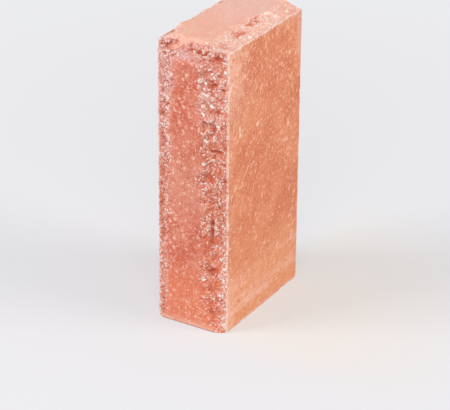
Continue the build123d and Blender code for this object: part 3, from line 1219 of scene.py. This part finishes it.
# %% Places of the single stones
LONG_FACE_STONES = (
    (28.6, 237.0, 7.2, 2.6, -5),
    (30.0, 229.4, 3.2, 4.2, 0),
    (16.5, 230.0, 4.2, 2.8, 20),
    (18.1, 226.2, 4.6, 1.8, 35),
    (20.3, 223.4, 4.2, 2.2, -15),
    (7.7, 219.6, 3.6, 2.2, 40),
    (7.7, 215.4, 3.2, 2.4, 0),
    (13.3, 217.6, 2.8, 2.6, 0),
    (15.6, 212.7, 5.2, 2.0, 5),
    (15.0, 208.0, 4.6, 3.0, 0),
    (24.0, 214.0, 4.2, 3.2, 20),
    (11.3, 198.4, 4.6, 4.4, 10),
    (18.9, 199.5, 4.6, 3.2, -10),
    (11.7, 191.4, 5.2, 3.2, -25),
    (23.6, 183.0, 4.4, 3.2, 20),
    (11.1, 175.7, 2.6, 2.2, 0),
    (14.2, 169.5, 6.0, 3.2, -30),
    (20.5, 171.5, 3.4, 3.6, 10),
    (20.5, 154.0, 3.6, 2.4, 35),
    (12.6, 149.0, 3.8, 2.8, -40),
    (20.4, 139.0, 3.2, 2.4, 0),
    (-17.5, 219.0, 3.4, 3.6, 10),
    (-24.6, 208.7, 2.8, 5.0, 0),
    (-22.5, 188.5, 2.4, 4.2, 25),
    (-21.0, 176.0, 2.6, 3.6, 15),
    (-20.4, 164.0, 2.2, 4.6, -20),
    (-22.4, 157.5, 3.4, 3.4, 30),
    (-23.8, 50.4, 3.0, 2.6, 30),
    (30.2, 58.3, 3.0, 3.0, 0),
    (13.3, 45.4, 5.6, 3.0, 10),
    (29.8, 12.9, 4.4, 3.2, 20),
    (21.5, 29.5, 3.0, 2.2, 50),
    (29.6, 48.5, 2.2, 3.4, 10),
    (26.4, 33.5, 2.4, 3.4, 15),
    (29.8, 25.0, 2.4, 3.2, -20),
    (26.8, 66.5, 2.6, 3.4, 10),
)
END_STONES = (
    (28.6, -17.0, 4.4, 3.4, 10),
    (25.6, 46.0, 3.2, 3.0, 30),
    (21.0, 21.0, 3.0, 2.6, 0),
    (24.0, -51.5, 3.6, 2.6, 20),
    (11.4, -52.5, 4.2, 2.4, -10),
    (-28.2, 18.0, 3.0, 2.2, 40),
    (-27.0, 6.0, 3.2, 2.0, 60),
    (-26.5, 14.0, 2.4, 1.8, 20),
)
print("single stones", len(LONG_FACE_STONES) + len(END_STONES))

# %% [markdown]
# A crushed stone is a rough block. Each stone here is the hull of random points near the corners of
# a block, so it is angular and no two are alike. A ray finds the break under its place, and the
# stone sits half sunk in it. The photo's blur widens a stone, so each is made a little smaller.

# %% Make the single stones
STONE_THICKNESS = 0.8
STONE_POINTS = 16
STONE_BLUNT = 0.3
STONE_SHARE = 0.88
STONE_START = 10 * MM
STONE_SEED = 8


def add_stone(heap, skin, dice, start, look, size, lean):
    """One angular stone where a ray from start meets the skin"""
    spot = skin.ray_cast(start, look)[0]
    sideways = Vector((1, 0, 0))
    axes = Matrix((sideways, look.cross(sideways), look)).transposed()
    turn = axes @ Matrix.Rotation(math.radians(-lean), 3, "Z")
    half_size = Vector((size[0], size[1], STONE_THICKNESS * min(size))) * STONE_SHARE * MM / 2
    corners = []
    for _ in range(STONE_POINTS):
        corner = Vector([dice.choice((-1, 1)) * dice.uniform(STONE_BLUNT, 1) for _ in range(3)])
        corners.append(heap.verts.new(kept_inside(spot + turn @ (corner * half_size))))
    bmesh.ops.convex_hull(heap, input=corners)


def single_stones():
    """All single stones in one mesh"""
    skin = BVHTree.FromPolygons(points.tolist(), faces)
    dice = random.Random(STONE_SEED)
    heap = bmesh.new()
    for x, z, *size, lean in LONG_FACE_STONES:
        start = Vector((x * MM, low.y - STONE_START, z * MM))
        add_stone(heap, skin, dice, start, Vector((0, 1, 0)), size, lean)
    for x, y, *size, lean in END_STONES:
        start = Vector((x * MM, y * MM, high.z + STONE_START))
        add_stone(heap, skin, dice, start, Vector((0, 0, -1)), size, lean)
    spare = [corner for corner in heap.verts if not corner.link_faces]
    bmesh.ops.delete(heap, geom=spare, context="VERTS")
    bmesh.ops.recalc_face_normals(heap, faces=heap.faces)
    mesh = bpy.data.meshes.new("limestone_stones")
    heap.to_mesh(mesh)
    heap.free()
    return mesh


stone_mesh = single_stones()
stone_mesh.materials.append(limestone)
stones = make_object("limestone_stones", stone_mesh)
print("faces of the single stones", len(stone_mesh.polygons))

# %% [markdown]
# ## Stage
# The floor is a sheet of pale paper that fills every view but the lowest. A camera sees it nearly
# white, with the brick's soft shadow on it, while the light that it throws back onto the brick is
# that of plain grey paper. That keeps the brick's own colours from being washed out. Its glow
# grows with the distance from the brick, to make up for the lamps, which reach less far. A warm
# tint to the right of the brick's foot is painted light: the glow that the orange brick throws
# into its shadow on the paper.

# %% Floor
FLOOR_SIZE = 6.0
GLOW_NEAR, GLOW_FAR = (250, 0.42), (900, 0.85)
BOUNCE_GLOW_REACH, BOUNCE_GLOW_TO_RIGHT, BOUNCE_GLOW_FROM_FRONT = (240, 110), (0, 34), (-100, -40)
FLOOR_CORNERS = ((-1, -1, 0), (1, -1, 0), (1, 1, 0), (-1, 1, 0))


def floor_material():
    """Pale paper: it takes the shadows, but the camera sees them about half as strong"""
    material, tree, place = new_material("pale_paper")
    right, back, _ = add(tree, "ShaderNodeSeparateXYZ", {"Vector": place}).outputs
    away = add(tree, "ShaderNodeVectorMath", {0: place}, operation="LENGTH").outputs["Value"]
    beside_foot = (away, *BOUNCE_GLOW_REACH), (right, *BOUNCE_GLOW_TO_RIGHT), (back, *BOUNCE_GLOW_FROM_FRONT)
    # Painted warm light beside the foot, as the orange brick would throw it into its shadow
    bounce_lit_paper = painted(tree, colour("#DEDFE2"), ("#E4DCD0", 0.75, *beside_foot))
    paper = add(tree, "ShaderNodeBsdfDiffuse", {"Color": bounce_lit_paper})
    glow = add(tree, "ShaderNodeEmission", {"Color": colour("#F3F4F7"), "Strength": 1.0})
    camera_ray = add(tree, "ShaderNodeLightPath").outputs["Is Camera Ray"]
    (near, least), (far, most) = GLOW_NEAR, GLOW_FAR
    rise = {"Value": away, "From Min": near, "From Max": far, "To Min": least, "To Max": most}
    growing = add(tree, "ShaderNodeMapRange", rise)
    share = add(tree, "ShaderNodeMath", {0: camera_ray, 1: growing}, operation="MULTIPLY")
    mixed = add(tree, "ShaderNodeMixShader", {0: share, 1: paper, 2: glow})
    add(tree, "ShaderNodeOutputMaterial", {"Surface": mixed})
    return material


corners = [Vector(corner) * FLOOR_SIZE / 2 for corner in FLOOR_CORNERS]
floor_mesh = bpy.data.meshes.new("studio_floor")
floor_mesh.from_pydata(corners, [], [(0, 1, 2, 3)])
floor_mesh.materials.append(floor_material())
floor = make_object("studio_floor", floor_mesh)
print("floor m", [round(side, 2) for side in floor.dimensions[:2]])

# %% [markdown]
# A soft box stands on the left and one on the right, with a weaker one in front, and the world
# fills the shadows. To the camera the world is as pale as the floor, so that low views have no
# grey sky. The share of a lamp is how bright white paper looks that faces it. On the long face and
# the bed the shares come to about 1, so colours render as they are written there. The end faces
# up, towards all of them, and is the brightest face, as in the photo.

# %% Light
WORLD_LIGHT, SEEN_WORLD = 0.45, 0.9
LIGHT_AIM = Vector((0, 0, 0.12))
LIGHT_DISTANCE = 2.6
SOFT_BOXES = (
    ("left_soft_box", (-0.71, -0.70), 36, 1.2, 0.53, "#FBFAFF"),
    ("right_soft_box", (0.96, 0.27), 34, 1.2, 0.457, "#FFF9F2"),
    ("front_fill", (0.50, -0.87), 30, 1.6, 0.31, "#FFFBF7"),
)
SEEN_FACES = (("long face", (0, -1, 0)), ("bed", (1, 0, 0)), ("end", (0, 0, 1)))


def soft_box(name, towards, elevation, size, share, code):
    """Stands up a square soft light aimed at the brick, and tells how much it sends from where"""
    lamp = bpy.data.lights.new(name, "AREA")
    lamp.size = size
    lamp.energy = share * (math.pi * LIGHT_DISTANCE) ** 2
    lamp.color = colour(code)[:3]
    made = make_object(name, lamp)
    up = math.radians(elevation)
    flat = Vector((*towards, 0)).normalized() * math.cos(up)
    direction = Vector((flat.x, flat.y, math.sin(up)))
    made.location = LIGHT_AIM + direction * LIGHT_DISTANCE
    made.rotation_euler = direction.to_track_quat("Z", "Y").to_euler()
    return direction * share


lights = [soft_box(*box) for box in SOFT_BOXES]
world = bpy.data.worlds.new("studio")
bpy.context.scene.world = world
world.use_nodes = True
studio = world.node_tree
studio.nodes.clear()
seen = add(studio, "ShaderNodeLightPath").outputs["Is Camera Ray"]
brighter = {"Value": seen, "To Min": WORLD_LIGHT, "To Max": SEEN_WORLD}
evenly = {"Color": colour("#FCFAFA"), "Strength": add(studio, "ShaderNodeMapRange", brighter)}
sky = add(studio, "ShaderNodeBackground", evenly)
add(studio, "ShaderNodeOutputWorld", {"Surface": sky})
for face, outwards in SEEN_FACES:
    falling = [max(0.0, light.dot(Vector(outwards))) for light in lights]
    print("light on the", face, round(WORLD_LIGHT + sum(falling), 2))

# %% [markdown]
# The camera stands where the photo was taken from, above the brick and to the right of its long
# face. Its place, turn and lens come from a fit of the brick's edges to the photo. A camera set by
# eye can get one edge right, but seldom all of them.

# %% Camera
TARGET = Vector((4.617, -12.530, 91.556)) * MM
DISTANCE = 1780.5 * MM
AZIMUTH, ELEVATION, ROLL = (math.radians(a) for a in (30.864, 26.333, 0.450))
LENS = 173.84
SENSOR = 36.0
camera_data = bpy.data.cameras.new("camera")
camera_data.lens = LENS
camera_data.sensor_width = SENSOR
camera = make_object("camera", camera_data)
flat_back = Vector((math.sin(AZIMUTH), -math.cos(AZIMUTH), 0))
back = flat_back * math.cos(ELEVATION) + Vector((0, 0, math.sin(ELEVATION)))
turned = back.to_track_quat("Z", "Y").to_matrix() @ Matrix.Rotation(ROLL, 3, "Z")
camera.matrix_world = Matrix.Translation(TARGET + back * DISTANCE) @ turned.to_4x4()
bpy.context.scene.camera = camera
print("camera at m", [round(place, 3) for place in camera.matrix_world.translation])

# %% [markdown]
# ## Joining the pieces
# Body, grains and stones are all one brick, so they ride on its one body. The body stands for the
# imported solid, which is hidden. The floor isn't part of the object.

# %% Attach the pieces
for piece in (brick, grains, stones):
    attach(piece, "root")
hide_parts(BRICK)
bpy.context.scene.view_settings.view_transform = "Standard"
